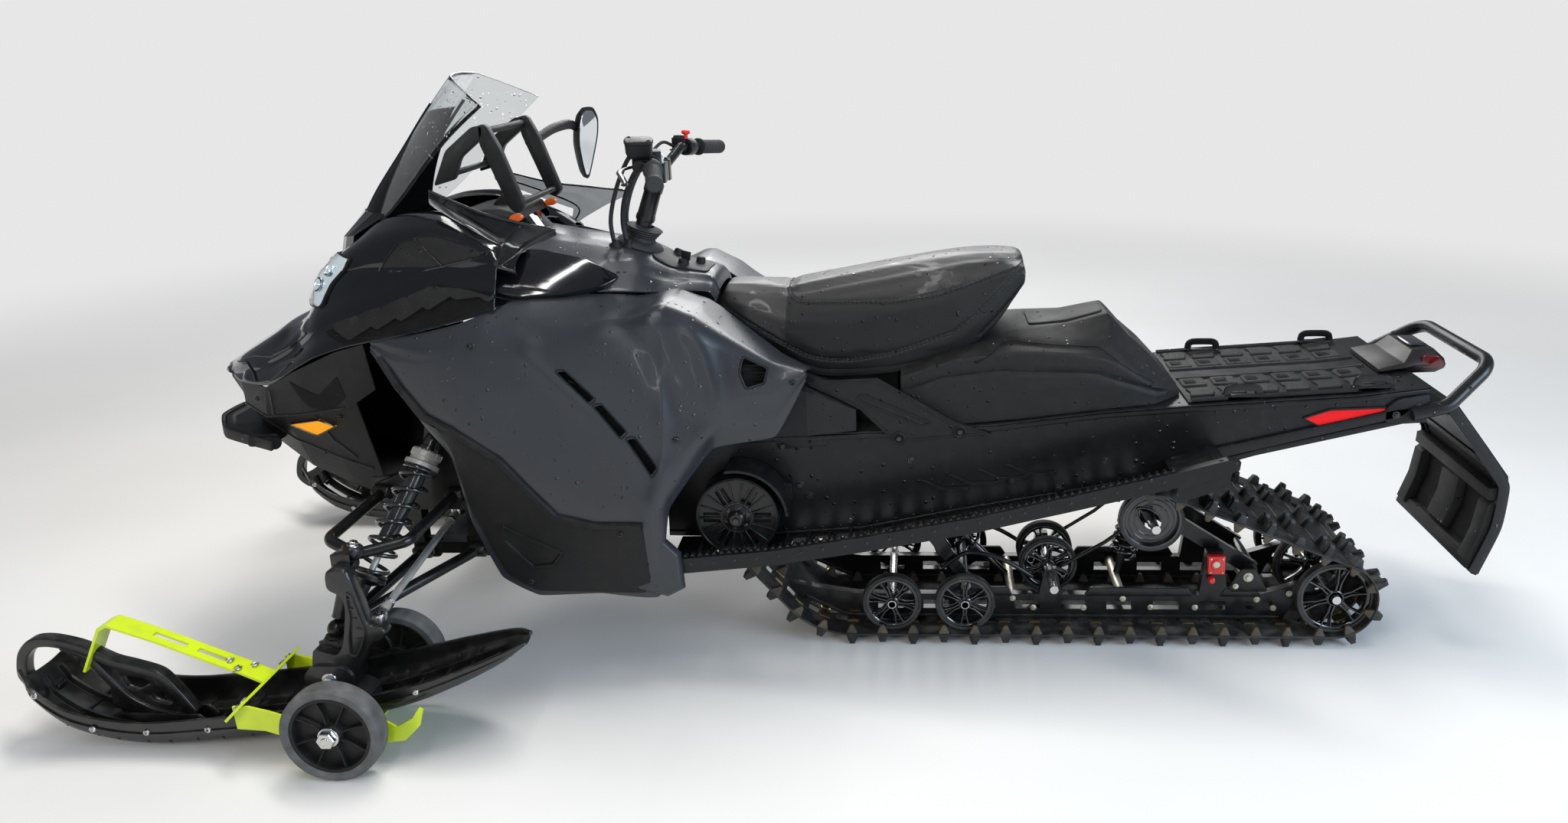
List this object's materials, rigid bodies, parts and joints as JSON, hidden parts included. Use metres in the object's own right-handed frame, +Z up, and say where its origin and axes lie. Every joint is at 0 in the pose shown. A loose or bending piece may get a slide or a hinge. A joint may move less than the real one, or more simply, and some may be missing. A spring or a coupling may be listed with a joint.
{
  "type": "snowmobile on two ski dollies",
  "caption": "Black trail snowmobile with an endless lugged track, steerable skis and small wheeled dollies clamped under the skis.",
  "frame": {"origin": "on the floor, at the middle of the overall length and width", "axes": "+X to the rear, +Y to the right of a seated rider, +Z up"},
  "size_m": [3.2014, 1.428, 1.342],
  "materials": {
    "amber_lens": "amber reflector",
    "bare_aluminium": "satin aluminium",
    "black_metal": "satin black powder coat",
    "black_plastic": "grained black plastic",
    "clear_screen": "clear polycarbonate",
    "gloss_black": "high gloss moulded body plastic",
    "grip_rubber": "black soft rubber",
    "lime_paint": "lime yellow powder coat",
    "matte_charcoal": "grained dark grey body plastic",
    "red_lens": "red lens",
    "seat_cover": "black grained vinyl",
    "track_rubber": "black rubber",
    "wheel_plastic": "black moulded wheel with rubber rim"
  },
  "bodies": {
    "chassis": {"belly_pan": "black_plastic", "cargo_anchors": "black_plastic", "console": "matte_charcoal", "dash": "black_plastic", "drive_axle": "black_metal", "driven_pulley": "black_metal", "engine_block": "bare_aluminium", "front_bumper": "black_plastic", "front_frame": "black_metal", "front_reflectors": "amber_lens", "front_shocks": "black_metal", "front_springs": "black_metal", "fuel_tank": "black_metal", "headlamps": "clear_screen", "hood": "gloss_black", "lower_arms": "black_metal", "mirror_right": "black_plastic", "nose_panel": "black_plastic", "pulley_guard": "bare_aluminium", "rear_box": "matte_charcoal", "rear_bumper": "black_metal", "rear_deck": "black_plastic", "running_boards": "black_metal", "screen_moulding": "black_metal", "seat": "seat_cover", "seat_struts": "black_metal", "side_panel_left": "matte_charcoal", "side_panel_right": "matte_charcoal", "side_reflectors": "red_lens", "skid_adjusters": "black_metal", "skid_arms": "black_metal", "skid_axles": "black_metal", "skid_cross_tubes": "bare_aluminium", "skid_shocks": "black_metal", "skid_wheels": "wheel_plastic", "slide_rails": "black_metal", "snow_flap": "black_plastic", "steering_frame": "black_metal", "tail_lamp": "red_lens", "tank_covers": "matte_charcoal", "track": "track_rubber", "tunnel": "black_metal", "upper_arms": "black_metal", "wind_deflectors": "clear_screen", "windshield": "clear_screen", "windshield_frame": "black_plastic"},
    "steering": {"handlebar": "black_metal", "grips": "grip_rubber", "control_pods": "black_plastic"},
    "knuckle_left": {"spindle_left": "black_metal", "ski_left": "black_plastic", "dolly_frame_left": "lime_paint"},
    "tie_rod_left": {"tie_rod_left": "bare_aluminium"},
    "dolly_wheels_left": {"dolly_wheels_left": "wheel_plastic"},
    "knuckle_right": {"spindle_right": "black_metal", "ski_right": "black_plastic", "dolly_frame_right": "lime_paint"},
    "tie_rod_right": {"tie_rod_right": "bare_aluminium"},
    "dolly_wheels_right": {"dolly_wheels_right": "wheel_plastic"}
  },
  "joints": [
    {"name": "steering", "type": "hinge", "parent": "chassis", "child": "steering", "pos_m": [-0.3513, 0, 0.985], "axis": [0.3207, 0, 0.9472], "range_deg": [-36, 36]},
    {"name": "ski_steer_left", "type": "hinge", "parent": "chassis", "child": "knuckle_left", "pos_m": [-0.9223, -0.512, 0.228], "axis": [0.2434, 0.1391, 0.9599], "range_deg": [-30, 30]},
    {"name": "tie_rod_swing_left", "type": "hinge", "parent": "knuckle_left", "child": "tie_rod_left", "pos_m": [-0.8253, -0.52, 0.26], "axis": [0.2434, 0.1391, 0.9599], "range_deg": [-30, 30]},
    {"name": "dolly_roll_left", "type": "hinge", "parent": "knuckle_left", "child": "dolly_wheels_left", "pos_m": [-0.8583, -0.538, 0.1015], "axis": [0, 1, 0], "continuous": true},
    {"name": "ski_steer_right", "type": "hinge", "parent": "chassis", "child": "knuckle_right", "pos_m": [-0.9223, 0.512, 0.228], "axis": [0.2434, -0.1391, 0.9599], "range_deg": [-30, 30]},
    {"name": "tie_rod_swing_right", "type": "hinge", "parent": "knuckle_right", "child": "tie_rod_right", "pos_m": [-0.8253, 0.52, 0.26], "axis": [0.2434, -0.1391, 0.9599], "range_deg": [-30, 30]},
    {"name": "dolly_roll_right", "type": "hinge", "parent": "knuckle_right", "child": "dolly_wheels_right", "pos_m": [-0.8583, 0.538, 0.1015], "axis": [0, 1, 0], "continuous": true}
  ],
  "couplings": [
    {"joint": "ski_steer_left", "follows": "steering", "ratio": 0.8333},
    {"joint": "tie_rod_swing_left", "follows": "steering", "ratio": -0.8333},
    {"joint": "ski_steer_right", "follows": "steering", "ratio": 0.8333},
    {"joint": "tie_rod_swing_right", "follows": "steering", "ratio": -0.8333}
  ]
}
